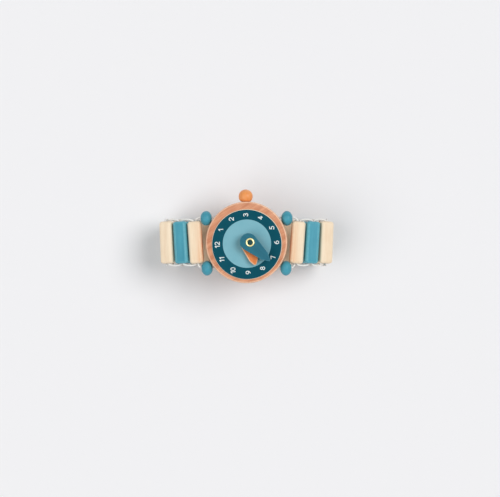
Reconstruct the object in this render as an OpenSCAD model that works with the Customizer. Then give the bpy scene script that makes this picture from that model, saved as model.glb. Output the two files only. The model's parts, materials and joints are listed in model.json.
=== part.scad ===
// Toy watch: a wooden disc with a dial and two hands, on a strap of wooden slats threaded on elastic.
// Z points up out of the dial and Y points to the crown. The strap lies on the middle of its back run,
// and the origin is the middle of the face on which it lies.

/* [Case] */
// Diameter of the wooden disc
case_d = 38.5; // [35:0.5:41]
// Thickness of the wooden disc
case_h = 8; // [7:0.5:11]
// Rounding of the disc's edges
case_edge_r = 0.8; // [0.5:0.1:1.3]

/* [Dial] */
// Diameter of the dial plate
dial_d = 33.2; // [28:0.2:33.2]
// Thickness of the dial plate
dial_h = 0.5; // [0.3:0.1:1]
// How far the dial plate is glued below the middle of the disc
dial_drop = 0.9; // [0:0.1:0.9]
// How far the dial plate is glued to the right of the middle of the disc
dial_right = 0.2; // [0:0.1:0.4]

/* [Hands] */
// Thickness of each hand
hand_h = 1.8; // [1.2:0.1:2.4]
// Distance of the hands' pivot to the right of the middle of the disc
pivot_right = 1.7; // [0:0.1:2.5]
// Length of the minute hand along its middle line, from beside the pivot to its tip
minute_len = 12.8; // [11:0.2:14]
// Radius of the minute hand's round tail
minute_tail_r = 4.1; // [3:0.1:4.2]
// Distance of the middle of the minute hand's round tail behind the pivot
minute_tail_back = 0.7; // [0:0.1:1.6]
// Distance of the minute hand's middle line from the pivot, on the clockwise side
minute_aside = 0.35; // [0:0.05:0.6]
// Half width of the minute hand where its point begins
minute_shoulder = 2.2; // [1.2:0.1:2.4]
// Length of the minute hand's point
minute_point = 3.4; // [2:0.1:4]
// Rounding of the minute hand's tip
tip_r = 0.4; // [0.2:0.05:0.6]
// Direction of the minute hand, anticlockwise from the X axis
minute_turn = -41.4; // [-180:0.2:180]
// Length of the hour hand along its middle line, from beside the pivot to its tip
hour_len = 10.9; // [9:0.1:12]
// Radius of the hour hand's round tail
hour_tail_r = 3.8; // [3.2:0.1:4.6]
// Distance of the middle of the hour hand's round tail before the pivot
hour_tail_front = 0.9; // [0:0.1:1]
// Distance of the hour hand's middle line from the pivot, on the clockwise side
hour_aside = 0.8; // [0:0.1:0.8]
// Half width of the hour hand where its point begins
hour_shoulder = 2.1; // [1.6:0.1:3]
// Length of the hour hand's point
hour_point = 2.5; // [2.5:0.1:5]
// Rounding of the hour hand's tip
hour_tip_r = 1; // [0.4:0.1:1.2]
// Direction of the hour hand, anticlockwise from the X axis
hour_turn = -73; // [-180:0.2:180]

/* [Eyelet] */
// Outer diameter of the eyelet's tube
eyelet_d = 3; // [2.8:0.1:3.4]
// Diameter of the hole through the eyelet
eyelet_bore = 2.4; // [1.8:0.1:2.5]
// Diameter of the eyelet's rounded head
eyelet_head_d = 4.2; // [3.8:0.1:5]
// Height of the eyelet's rounded head
eyelet_head_h = 0.5; // [0.4:0.1:0.8]
// Diameter of the rim that is rolled over behind the case
eyelet_foot_d = 4.6; // [4:0.1:5]
// Height of the rim that is rolled over behind the case
eyelet_foot_h = 0.45; // [0.3:0.05:0.7]
// Diameter of the two washers under the hands
washer_d = 5; // [5:0.2:6.6]
// Thickness of the two washers under the hands
washer_h = 0.4; // [0.3:0.1:0.8]
// Diameter of the washer behind the case
back_washer_d = 6.6; // [6:0.2:8]
// Thickness of the washer behind the case
back_washer_h = 0.5; // [0.3:0.1:0.7]
// Depth of the recess in the back of the case
back_sink = 1.5; // [1.5:0.1:2]

/* [Crown] */
// Diameter of the wooden ball at the edge of the case
crown_d = 6.7; // [6:0.1:8]
// Depth of the flat that seats the ball on the edge
crown_flat = 0.9; // [0.3:0.1:1]
// Distance of the ball to the left of the middle of the disc
crown_left = 0.4; // [0:0.1:1]
// Diameter of the dowel that holds the ball
peg_d = 2.4; // [2:0.1:3]
// Wood left in the case between the dowel and the cord's hole
peg_wall = 1.85; // [1:0.05:3.5]
// Depth of the dowel in the ball
peg_in_ball = 3.6; // [2.5:0.1:4]

/* [Beads] */
// Diameter of each bead across its hole
bead_d = 7; // [6:0.1:7.1]
// Length of each bead along its hole
bead_len = 5.4; // [4:0.1:5.5]
// Diameter of the hole through each bead
bead_bore = 1.9; // [1.8:0.1:2.4]
// Gap between a bead and the rim of the case
bead_gap = 0.08; // [0.06:0.02:0.3]
// Distance by which the beads hang below the line of the cord's holes
bead_drop = 0.4; // [0.2:0.1:0.4]

/* [Slats] */
// Length of each slat across the strap
slat_len = 20; // [17:0.5:20.5]
// Width of each slat along the strap
slat_w = 6.4; // [5.8:0.1:7]
// Thickness of each slat
slat_t = 5; // [4.2:0.1:5.6]
// Rounding of the long edges of each slat
slat_edge_r = 1.5; // [0.8:0.1:1.9]
// Rounding of the ends of each slat
slat_end_r = 1.3; // [0.6:0.1:1.6]
// Diameter of the hole through each slat
slat_bore = 2.8; // [2.2:0.1:3]
// Gap between the rim of the case and the line where the strap first bends
strap_start = 1.25; // [1.2:0.05:2.4]
// Half gap between two slats that lie flat beside each other
flat_gap = 0.28; // [0.2:0.02:0.5]
// Half clearance between the inner corners of two slats at their sharpest bend
corner_gap = 0.15; // [0.1:0.01:0.3]
// Gap between the hinge of the fold and the slat that hangs from it
fold_gap = 0.45; // [0.4:0.05:0.8]
// Distance of the hinge of the fold outside the hole of the slat that hangs from it
fold_out = 1.6; // [1.4:0.1:1.8]

/* [Elastic] */
// Diameter of the elastic cord
cord_d = 0.9; // [0.6:0.1:0.9]
// Distance between the two runs of the cord within a slat, across the thickness of the slat
cord_split = 1.02; // [1:0.02:1.2]
// Distance between the two runs of the cord at each end of a slat, along the strap
cord_spread = 1.2; // [0:0.1:1.3]
// Distance by which the cord's arcs stand out of the ends of the slats
cord_arc = 1.4; // [1.2:0.1:1.8]
// Distance of the cord's holes in the case beyond the ends of the slats
cord_out = 1.8; // [1.2:0.1:2.2]
// Diameter of the cord's holes in the case
cord_hole_d = 1.5; // [1.3:0.1:1.8]

/* [Hidden] */
// Clearance of a turning piece round its pin, measured on the radius
run_gap = 0.06;
// Clearance of a glued or pressed joint, measured on the radius
glue_gap = 0.04;
// Play between two faces that slide on each other
face_gap = 0.05;
// Overrun of every cut past the face that it opens
over = 1;
// Facets of a full turn
$fn = 64;
// Steps in a quarter turn of a rounded corner
corner_steps = 5;
// Steps in half a turn of a rounded outline
half_steps = 16;
// Sides of the cord, and its rings between two slats and between a slat and a bead
cord_sides = 6;
arc_steps = 6;
lead_steps = 4;

// Slats on each side of the case, before the one in the middle of the back
side_slats = 9;
// Roll of the first four slats away from the plane of the dial
front_rolls = [7.5, 13, 26, 92];
// Shares of the turn between the fourth slat and the flat back run, for the slats between them
belly_shares = [0.39, 0.76, 0.93];
// Roll of the slats on which the watch lies
back_roll = 180;
// Lean of the slats in their own plane, which fans the strap out towards the crown
lean_angles = [4, 3.5, 2.5, 1.5, 0.5];
// Room for the turn that each hinge gains while the strap opens, from the case to the middle slat
opening_turns = [16, 12, 4, 0, 0, 4, 11, 9, 5, 2];
// The hinge of the fold comes after this many slats
fold_after = 3;
// Bounds and steps of the search for the belly that brings the middle slat under the case
belly_least = 0.05;
belly_most = 12;
belly_steps = 40;

// Wood and metal colours
natural_wood = "#F0D8B8";
teal_wood = "#4A9DB0";
case_wood = "#D99B77";
dial_teal = "#0A5566";
minute_teal = "#3D7B90";
orange_wood = "#E59050";
brass = "#D9C867";
fibre = "#8A7F6E";
elastic_white = "#F4F2EE";

// Strap: the hinges and slats of one side, worked out in the plane of X and Z from the first hinge

function lean_of(i) = i < len(lean_angles) ? lean_angles[i] : 0;

function belly_roll(share, power) =
  let (start = front_rolls[fold_after])
  start + (back_roll - start) * pow(share, power);

function rolls(power) = concat(
  front_rolls,
  [for (share = belly_shares) belly_roll(share, power)],
  [for (i = [len(front_rolls) + len(belly_shares):side_slats]) back_roll]
);

function turns(roll_list) = [for (i = [0:side_slats]) roll_list[i] - (i == 0 ? 0 : roll_list[i - 1])];

function half_gap(turn) = max(
  flat_gap,
  (slat_edge_r + corner_gap + (slat_t / 2 - slat_edge_r) * sin(turn / 2)) / cos(turn / 2) - slat_edge_r
);

function half_gaps(turn_list) = [for (i = [0:side_slats]) half_gap(turn_list[i] + opening_turns[i])];

function along(roll) = [cos(roll), -sin(roll)];
function inward(roll) = [-sin(roll), -cos(roll)];

// Each entry is the hinge before a slat, the middle of the slat, and its roll
function strap(roll_list, gaps, i, hinge) =
  let (
    u = along(roll_list[i]),
    n = inward(roll_list[i]),
    hung = i == fold_after,
    middle = hung
      ? hinge + u * (slat_w / 2 + fold_gap) + n * fold_out
      : hinge + u * (slat_w / 2 + gaps[i])
  )
  i == side_slats
    ? [[hinge, middle, roll_list[i]]]
    : concat(
        [[hinge, middle, roll_list[i]]],
        strap(roll_list, gaps, i + 1, i + 1 == fold_after
          ? middle + u * slat_w / 2 + n * (slat_t / 2 + corner_gap)
          : middle + u * (slat_w / 2 + gaps[i + 1]))
      );

function strap_with(power) =
  let (roll_list = rolls(power))
  strap(roll_list, half_gaps(turns(roll_list)), 0, [case_r + strap_start, 0]);

function belly_power(least, most, steps) =
  let (power = (least + most) / 2)
  steps <= 0
    ? power
    : strap_with(power)[side_slats][1][0] < 0
      ? belly_power(power, most, steps - 1)
      : belly_power(least, power, steps - 1);

case_r = case_d / 2;
// Distance of the cord's holes in the case from the middle of the disc
cord_side = slat_len / 2 + cord_out;
// Depth of the dowel in the case
peg_in_case = case_r - cord_side - cord_hole_d / 2 - peg_wall;
links = strap_with(belly_power(belly_least, belly_most, belly_steps));
// Height of the cord's holes in the case above the surface on which the watch lies
base_z = slat_t / 2 - links[side_slats][1][1];

// Heights in the case and on it, measured from the level of the cord's holes
case_top = case_h / 2;
dial_top = case_top + dial_h;
hour_z = dial_top + washer_h + face_gap;
hand_washer_z = hour_z + hand_h + face_gap;
minute_z = hand_washer_z + washer_h + face_gap;
head_z = minute_z + hand_h + face_gap;
sink_z = back_sink - case_top;
foot_z = sink_z - back_washer_h;

// Beads: each touches the rim of the case as nearly as bead_gap lets it

function bead_reach(turn) = norm([bead_len / 2 * cos(turn), bead_d / 2 * sin(turn)]);

function bead_x(y, x, steps) =
  steps <= 0
    ? x
    : bead_x(y, sqrt(pow(case_r + bead_gap + bead_reach(atan2(y, x)), 2) - y * y), steps - 1);

bead_steps = 8;
upper_bead_y = cord_side - bead_drop;
lower_bead_y = -cord_side - bead_drop;
upper_bead_x = bead_x(upper_bead_y, case_r, bead_steps);
lower_bead_x = bead_x(lower_bead_y, case_r, bead_steps);

// Outlines

function arc(middle, radius_x, radius_y, from, to, steps) =
  [for (i = [0:steps])
    let (a = from + (to - from) * i / steps)
    middle + [radius_x * cos(a), radius_y * sin(a)]];

function rounded_box(w, h, r) =
  let (x = w / 2 - r, y = h / 2 - r)
  concat(
    arc([x, y], r, r, 0, 90, corner_steps),
    arc([-x, y], r, r, 90, 180, corner_steps),
    arc([-x, -y], r, r, 180, 270, corner_steps),
    arc([x, -y], r, r, 270, 360, corner_steps)
  );

// A leaf: a round tail, straight sides to the shoulders, and a point that ends in a rounding
function leaf(length, tail_x, tail_r, shoulder, point, rounding) =
  let (
    reach = [length - point - tail_x, shoulder],
    leave = atan2(reach[1], reach[0]) + acos(tail_r / norm(reach)),
    tip = 90 - atan2(shoulder, point)
  )
  concat(
    arc([tail_x, 0], tail_r, tail_r, leave, 360 - leave, half_steps),
    [[length - point, -shoulder]],
    arc([length - rounding, 0], rounding, rounding, -tip, tip, corner_steps),
    [[length - point, shoulder]]
  );

// Case and dial

module at_pivot() {
  translate([pivot_right, 0, 0]) children();
}

module case_blank() {
  r = case_edge_r;
  rotate_extrude()
    polygon(concat(
      [[0, -case_top]],
      arc([case_r - r, r - case_top], r, r, -90, 0, corner_steps),
      arc([case_r - r, case_top - r], r, r, 0, 90, corner_steps),
      [[0, case_top]]
    ));
}

module cord_hole(side) {
  translate([-case_r, side * cord_side, 0])
    rotate([0, 90, 0]) cylinder(d = cord_hole_d, h = case_d);
}

module peg_shape(gap, length) {
  translate([-crown_left, case_r - peg_in_case - gap, 0])
    rotate([-90, 0, 0]) cylinder(r = peg_d / 2 + gap, h = length);
}

module case() {
  color(case_wood)
    translate([0, 0, base_z])
      difference() {
        case_blank();
        at_pivot() translate([0, 0, -case_top - over])
          cylinder(r = eyelet_d / 2 + glue_gap, h = case_h + 2 * over);
        at_pivot() translate([0, 0, -case_top - over])
          cylinder(r = back_washer_d / 2 + glue_gap, h = back_sink + over);
        cord_hole(1);
        cord_hole(-1);
        peg_shape(glue_gap, peg_in_case + over);
      }
}

module dial() {
  color(dial_teal)
    translate([0, 0, base_z + case_top])
      difference() {
        translate([dial_right, -dial_drop, 0]) cylinder(d = dial_d, h = dial_h);
        at_pivot() translate([0, 0, -over])
          cylinder(r = eyelet_d / 2 + glue_gap, h = dial_h + 2 * over);
      }
}

// Crown: a ball with a flat seat, on a dowel

module crown_ball() {
  seat_y = case_r + face_gap;
  color(orange_wood)
    translate([0, 0, base_z])
      difference() {
        translate([-crown_left, seat_y + crown_d / 2 - crown_flat, 0])
          rotate([90, 0, 0]) sphere(d = crown_d);
        translate([-crown_left - crown_d / 2, seat_y - crown_d, -crown_d / 2]) cube(crown_d);
        peg_shape(glue_gap, peg_in_case + peg_in_ball + 2 * glue_gap);
      }
}

module crown_peg() {
  color(natural_wood)
    translate([0, 0, base_z]) peg_shape(0, peg_in_case + peg_in_ball);
}

// Hands, washers and eyelet, all on one pivot

module ring(outer_d, gap, height, z) {
  translate([0, 0, base_z + z])
    at_pivot()
      difference() {
        cylinder(d = outer_d, h = height);
        translate([0, 0, -over]) cylinder(r = eyelet_d / 2 + gap, h = height + 2 * over);
      }
}

module hand(outline, turn, aside, z) {
  translate([0, 0, base_z + z])
    at_pivot()
      difference() {
        rotate([0, 0, turn]) translate([0, -aside, 0]) linear_extrude(hand_h) polygon(outline);
        translate([0, 0, -over]) cylinder(r = eyelet_d / 2 + run_gap, h = hand_h + 2 * over);
      }
}

module hour_hand() {
  outline = leaf(hour_len, hour_tail_front, hour_tail_r, hour_shoulder, hour_point, hour_tip_r);
  color(orange_wood) hand(outline, hour_turn, hour_aside, hour_z);
}

module minute_hand() {
  outline = leaf(minute_len, -minute_tail_back, minute_tail_r, minute_shoulder, minute_point, tip_r);
  color(minute_teal) hand(outline, minute_turn, minute_aside, minute_z);
}

module dial_washer() {
  color(fibre) ring(washer_d, run_gap, washer_h, dial_top);
}

module hand_washer() {
  color(fibre) ring(washer_d, run_gap, washer_h, hand_washer_z);
}

module back_washer() {
  color(brass) ring(back_washer_d, run_gap, back_washer_h, foot_z);
}

module eyelet() {
  bore_r = eyelet_bore / 2;
  tube_r = eyelet_d / 2;
  head_w = eyelet_head_d / 2 - bore_r;
  foot_w = eyelet_foot_d / 2 - bore_r;
  color(brass)
    translate([0, 0, base_z])
      at_pivot()
        rotate_extrude()
          polygon(concat(
            arc([bore_r + foot_w / 2, foot_z], foot_w / 2, eyelet_foot_h, 180, 360, corner_steps),
            [[tube_r, foot_z], [tube_r, head_z]],
            arc([bore_r + head_w / 2, head_z], head_w / 2, eyelet_head_h, 0, 180, corner_steps)
          ));
}

// Beads

module bead(side, x, y) {
  mouth = asin(bead_bore / bead_d);
  color(teal_wood)
    translate([side * x, y, base_z])
      rotate([0, 90, 0])
        rotate_extrude()
          polygon(arc([0, 0], bead_d / 2, bead_len / 2, mouth - 90, 90 - mouth, half_steps));
}

// Slats

module bar(w, h, r, length) {
  linear_extrude(length + 2 * over, center = true) polygon(rounded_box(w, h, r));
}

module slat_blank() {
  intersection() {
    rotate([90, 0, 0]) bar(slat_w, slat_t, slat_edge_r, slat_len);
    bar(slat_w, slat_len, slat_end_r, slat_t);
    rotate([0, 90, 0]) bar(slat_t, slat_len, slat_end_r, slat_w);
  }
}

module slat(i, side) {
  link = links[i];
  color(i % 2 == 0 ? natural_wood : teal_wood)
    translate([side * link[1][0], 0, base_z + link[1][1]])
      rotate([0, side * link[2], 0])
        rotate([0, 0, -side * lean_of(i)])
          difference() {
            slat_blank();
            rotate([90, 0, 0]) cylinder(d = slat_bore, h = slat_len + 2 * over, center = true);
          }
}

// Elastic: one endless cord that goes round the strap twice, down one slat and up the next.
// A stop on its way is a point, and the direction that its rings keep as their own upright.
// It enters a slat on the side that faces the slat before, and leaves it on the side that faces the next.

function stop(side, i, end, depth, way) =
  let (
    roll = links[i][2],
    lean = lean_of(i),
    middle = [side * links[i][1][0], 0, base_z + links[i][1][1]],
    across = [side * sin(lean) * cos(roll), cos(lean), -sin(lean) * sin(roll)],
    away = [side * cos(lean) * cos(roll), -sin(lean), -cos(lean) * sin(roll)],
    outward = [side * sin(roll), 0, cos(roll)],
    aside = away * side * way * cord_spread / 2 + outward * depth * cord_split / 2
  )
  [middle + across * end * slat_len / 2 + aside, outward];

function round_strap(k) = k <= side_slats ? [1, k] : [-1, 2 * side_slats - k];

function run(k, lap) =
  let (place = round_strap(k), end = (k + lap) % 2 == 0 ? 1 : -1)
  [stop(place[0], place[1], -end, -end, -1), stop(place[0], place[1], end, -end, 1)];

function unit(v) = v / norm(v);

// Half an oval from one stop to the next, standing out along Y
function bridge(a, b) =
  let (out = a[0][1] > 0 ? 1 : -1, rise = cord_arc - cord_d / 2)
  [for (s = [1:arc_steps - 1])
    let (turn = 180 * s / arc_steps, share = (1 - cos(turn)) / 2)
    [a[0] * (1 - share) + b[0] * share + [0, out * rise * sin(turn), 0],
     unit(a[1] * (1 - share) + b[1] * share)]];

// A quarter of an oval from the bead's mouth, along X, into the end of the first slat, along Y
function lead(mouth, end) =
  [for (s = [0:lead_steps - 1])
    let (turn = 90 * s / lead_steps, d = end[0] - mouth[0])
    [mouth[0] + [d[0] * sin(turn), d[1] * (1 - cos(turn)), d[2] * s / lead_steps],
     unit(mouth[1] * (1 - s / lead_steps) + end[1] * s / lead_steps)]];

function reversed(list) = [for (i = [len(list) - 1:-1:0]) list[i]];

function lap_route(lap) =
  let (
    end = lap == 0 ? -1 : 1,
    bead_x = lap == 0 ? lower_bead_x : upper_bead_x,
    back_x = lap == 0 ? upper_bead_x : lower_bead_x,
    last = 2 * side_slats,
    right_mouth = [[bead_x + bead_len / 2, end * cord_side, base_z], [0, 0, 1]],
    left_mouth = [[-back_x - bead_len / 2, -end * cord_side, base_z], [0, 0, 1]]
  )
  concat(
    lead(right_mouth, run(0, lap)[0]),
    [for (k = [0:last])
      let (here = run(k, lap))
      each concat(here, k == last ? [] : bridge(here[1], run(k + 1, lap)[0]))],
    reversed(lead(left_mouth, run(last, lap)[1]))
  );

route = concat(lap_route(0), lap_route(1));

function cord_ring(i) =
  let (
    n = len(route),
    ahead = unit(route[(i + 1) % n][0] - route[i][0]),
    behind = unit(route[i][0] - route[(i + n - 1) % n][0]),
    way = unit(ahead + behind),
    up = unit(route[i][1] - way * (route[i][1] * way)),
    aside = cross(way, up)
  )
  [for (s = [0:cord_sides - 1])
    let (a = 360 * s / cord_sides)
    route[i][0] + (up * cos(a) + aside * sin(a)) * cord_d / 2];

module elastic_cord() {
  n = len(route);
  points = [for (i = [0:n - 1]) each cord_ring(i)];
  faces = [for (i = [0:n - 1]) for (s = [0:cord_sides - 1])
    let (a = i * cord_sides, b = ((i + 1) % n) * cord_sides, t = (s + 1) % cord_sides)
    each [[a + s, b + t, b + s], [a + s, a + t, b + t]]];
  color(elastic_white) polyhedron(points, faces);
}

case();
dial();
crown_ball();
crown_peg();
hour_hand();
minute_hand();
dial_washer();
hand_washer();
eyelet();
back_washer();
bead(1, upper_bead_x, upper_bead_y);  // bead_upper_right
bead(1, lower_bead_x, lower_bead_y);  // bead_lower_right
bead(-1, upper_bead_x, upper_bead_y);  // bead_upper_left
bead(-1, lower_bead_x, lower_bead_y);  // bead_lower_left
for (i = [1:side_slats]) {
  slat(i - 1, 1);
  slat(i - 1, -1);
}
slat(side_slats, 1);  // slat_middle
elastic_cord();
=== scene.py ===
"""A wooden toy watch: a turned case with a printed dial and two hands, on a strap of threaded slats."""
import json
import math

import bmesh
import bpy
import numpy as np
from bpy.props import FloatProperty, FloatVectorProperty, IntProperty, PointerProperty
from mathutils import Euler, Matrix, Vector
from mathutils.geometry import delaunay_2d_cdt


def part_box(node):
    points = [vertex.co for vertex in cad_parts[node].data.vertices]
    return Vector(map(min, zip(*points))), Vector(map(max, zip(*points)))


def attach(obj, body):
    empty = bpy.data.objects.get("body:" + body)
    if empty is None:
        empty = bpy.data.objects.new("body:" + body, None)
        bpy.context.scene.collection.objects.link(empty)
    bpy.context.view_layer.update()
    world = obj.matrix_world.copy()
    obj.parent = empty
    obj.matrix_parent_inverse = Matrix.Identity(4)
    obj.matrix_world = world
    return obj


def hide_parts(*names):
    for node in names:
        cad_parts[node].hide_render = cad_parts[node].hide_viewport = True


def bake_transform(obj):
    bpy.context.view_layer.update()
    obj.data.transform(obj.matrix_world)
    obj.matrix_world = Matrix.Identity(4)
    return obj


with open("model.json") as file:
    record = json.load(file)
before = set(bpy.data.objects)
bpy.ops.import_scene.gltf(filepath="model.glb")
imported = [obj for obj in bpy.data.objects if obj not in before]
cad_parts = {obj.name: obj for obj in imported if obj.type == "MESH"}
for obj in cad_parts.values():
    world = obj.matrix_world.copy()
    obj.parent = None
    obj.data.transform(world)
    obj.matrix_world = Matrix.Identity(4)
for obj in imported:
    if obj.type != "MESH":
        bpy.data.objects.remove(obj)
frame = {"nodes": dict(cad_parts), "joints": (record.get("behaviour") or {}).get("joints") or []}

bl_info = {
    "name": "Wooden toy watch",
    "version": (1, 0, 0),
    "blender": (4, 5, 0),
    "location": "View3D > Sidebar > Toy watch",
    "description": "Builds a wooden toy watch on an elastic strap of slats",
    "category": "Add Mesh",
}

MM = 0.001
PER_MM = 1 / MM
# Points closer than this are one point
WELD = 1e-7
SIDE_SLATS = 9
# The two ends of the strap's width: towards the crown and away from it
ENDS = (1, -1)
# How far the braided stretches of the cord go on inside a bore
CORD_INSIDE = 0.8 * MM
# Gap that glue fills
GLUE = 0.04 * MM
# Points round large and small pieces, and round wide and narrow holes
LARGE_ROUND = 192
SMALL_ROUND = 72
HOLE_ROUND = 64
NARROW_ROUND = 40
# Softening of the small edges
CARD_EDGE = 0.08 * MM
CARD_HOLE_EDGE = 0.04 * MM
HAND_HOLE_EDGE = 0.08 * MM
WASHER_EDGE = 0.08 * MM
BACK_WASHER_EDGE = 0.12 * MM
# Room between the rivet's tube and the washers
WASHER_ROOM = 0.06 * MM
QUARTER = math.pi / 2

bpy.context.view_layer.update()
NODES = frame["nodes"]
JOINTS = {joint["name"]: joint for joint in frame["joints"]}
# The point on the dial about which both hands turn
PIVOT = Vector(JOINTS["minute_hand_turn"]["pos_m"][:2])


def linear(code):
    """A colour written as in a paint list, such as D99B77, as the numbers that light adds up."""
    shares = [int(code[i:i + 2], 16) / 255 for i in (0, 2, 4)]
    return tuple(s / 12.92 if s <= 0.04045 else ((s + 0.055) / 1.055) ** 2.4 for s in shares)


def length(name, description, default_mm):
    return FloatProperty(name=name, description=description, default=default_mm * MM, unit="LENGTH",
                         precision=5)


def colour(name, description, code):
    return FloatVectorProperty(name=name, description=description, default=linear(code), subtype="COLOR",
                               size=3, min=0, max=1)


class WatchSizes(bpy.types.PropertyGroup):
    case_edge: length("Case edge", "Rounding of the case's edges", 0.8)
    # Width of the pale rim of the case, a painted highlight on its rounded edge
    case_pale: length("Pale rim", "Width of the paler wood round the face of the case", 0.65)
    case_hole: length("Cord hole", "Diameter of the cord's holes in the case", 1.5)
    eyelet_room: length("Eyelet hole", "Radius of the eyelet's hole in the case and the dial", 1.54)
    recess: length("Recess", "Radius of the recess in the back of the case", 3.34)
    recess_depth: length("Recess depth", "Depth of the recess in the back of the case", 1.5)
    centre_r: length("Light centre", "Radius of the light disc printed on the dial", 11.4)
    print_right: length("Print right", "How far the print lies to the right of the middle of the dial", 0.0)
    print_up: length("Print up", "How far the print lies above the middle of the dial", 0.3)
    print_turn: FloatProperty(name="Print turn", description="Anticlockwise turn of the whole print",
                              default=math.radians(2.5), unit="ROTATION")
    bare_edge: length("Bare edge", "Usual width of the bare card round the print", 0.22)
    # The print's round edge is moved left and down so that the bare card shows wider on the upper right: a
    # painted highlight where the lamp catches the cut edge
    bare_left: length("Bare edge left", "How far the round edge of the print lies to the left", 0.05)
    bare_down: length("Bare edge down", "How far the round edge of the print lies downwards", 0.06)
    number_ring: length("Number ring", "From the middle of the print to the numbers' inner ends", 12.8)
    number_h: length("Number height", "Height of a number's strokes, from middle to middle", 2.04)
    number_w: length("Number width", "Width of a digit's strokes, from middle to middle", 1.29)
    number_stroke: length("Number stroke", "Width of the strokes of the numbers", 0.36)
    ink_h: length("Ink", "Thickness of the printed ink", 0.02)
    hand_edge: length("Hand edge", "Rounding of the edges of the hands", 0.3)
    bare_wide: length("Wide bare edge", "Width of the bare wood on the clockwise side of the hour hand", 0.5)
    bare_slim: length("Slim bare edge", "Width of the bare wood on the other edges of the hands", 0.24)
    eyelet_bore: length("Eyelet bore", "Diameter of the hole through the eyelet", 2.4)
    eyelet_tube: length("Eyelet tube", "Diameter of the eyelet's tube", 3.0)
    eyelet_head: length("Eyelet head", "Height of the eyelet's rolled head", 0.5)
    eyelet_foot: length("Eyelet foot", "Height of the eyelet's rolled foot", 0.45)
    peg_hole: length("Peg hole", "Diameter of the hole for the crown's dowel", 2.48)
    bead_bore: length("Bead bore", "Diameter of the hole through a bead", 1.9)
    slat_edge: length("Slat edge", "Rounding of the long edges of a slat", 1.5)
    slat_end: length("Slat end", "Rounding of the ends of a slat", 1.3)
    slat_bore: length("Slat bore", "Diameter of the hole through a slat", 2.8)
    mouth: length("Bore mouth", "Softening of the mouths of the bores", 0.15)
    unevenness: length("Unevenness", "How far the sanded surfaces stray from true", 0.025)
    cord_d: length("Cord", "Diameter of the elastic cord", 0.9)
    cord_split: length("Cord split", "Distance between the two runs in a slat", 1.02)
    cord_spread: length("Cord spread", "Distance along the strap between the two runs at a slat's end", 1.2)
    cord_arc: length("Cord arc", "How far the cord's arcs stand out of the slats", 1.4)
    cord_ring: length("Cord ring", "Distance between the rings of the cord's mesh", 0.12)
    braid_pitch: length("Braid pitch", "Length in which a strand of the braid goes round once", 2.0)
    braid_depth: length("Braid depth", "Depth of the grooves between the strands", 0.035)
    braid_strands: IntProperty(name="Braid strands", description="Strands that wind each way",
                               default=4, min=2)


class WatchColours(bpy.types.PropertyGroup):
    case: colour("Case", "Salmon stain of the case", "E3A580")
    case_deep: colour("Case grain", "Darker grain of the case", "C47D5A")
    # Painted highlight on the rounded rim of the case
    case_edge: colour("Case edge", "Paler wood at the edge of the case", "F8D0B0")
    plain: colour("Plain wood", "Bare pale wood", "FBE8CC")
    plain_deep: colour("Plain grain", "Darker grain of the bare wood", "E9C8A2")
    # Painted reflection of the orange case, with painted shade, on the first slats
    warm: colour("Warm side", "Warm tone of the first slats beside the case", "E8A468")
    teal: colour("Teal", "Teal stain of the slats and beads", "4CA2B6")
    teal_deep: colour("Teal grain", "Darker grain of the teal wood", "34849A")
    # Worn stain and a painted highlight on the slats' long edges
    teal_edge: colour("Teal edge", "Paler teal at worn edges", "7CC3CE")
    orange: colour("Orange", "Orange stain of the crown", "F6A360")
    orange_deep: colour("Orange grain", "Darker grain of the orange wood", "CF7330")
    hour: colour("Hour hand", "Deeper orange stain of the hour hand", "E8894A")
    hour_deep: colour("Hour hand grain", "Darker grain of the hour hand", "CB692E")
    orange_edge: colour("Orange edge", "Paler orange at worn edges", "F3C49E")
    deep_teal: colour("Deep teal", "Stain of the minute hand", "2F7386")
    deep_teal_grain: colour("Deep teal grain", "Darker grain of the minute hand", "255C70")
    deep_teal_edge: colour("Deep teal edge", "Paler edge of the minute hand", "5FA0B2")
    print_ring: colour("Dial ring", "Dark teal printed round the dial", "004B5B")
    print_centre: colour("Dial centre", "Light blue printed in the middle of the dial", "86BBC8")
    card: colour("Card", "Bare card at the cut edge of the dial", "EBDDC4")
    ink: colour("Ink", "White of the numbers", "EEF4F2")
    brass: colour("Brass", "Metal of the eyelet", "F0E3A6")
    brass_dull: colour("Dull brass", "Tarnish in the metal", "C0A65C")
    # Painted shade: the dark brown inside the rivet's bore
    brass_inside: colour("Inside of the rivet", "Dark tarnish in the bore of the rivet", "3A2014")
    fibre: colour("Fibre", "Pressed fibre of the washers", "8A7F6E")
    elastic: colour("Elastic", "White of the elastic", "F9F8F5")
    groove: colour("Elastic groove", "Shade between the strands", "D6D2CA")
    backdrop: colour("Backdrop", "Colour of the floor and the background", "F3F3F5")


def sizes():
    return bpy.context.scene.watch_sizes


def colours():
    return bpy.context.scene.watch_colours


# Where things are, read from the frame

def node_box(name):
    """The middle and the size of a node, at rest."""
    low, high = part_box(name)
    return (low + high) / 2, high - low


def mesh_points(name):
    return np.array([v.co for v in NODES[name].data.vertices], float)


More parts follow.
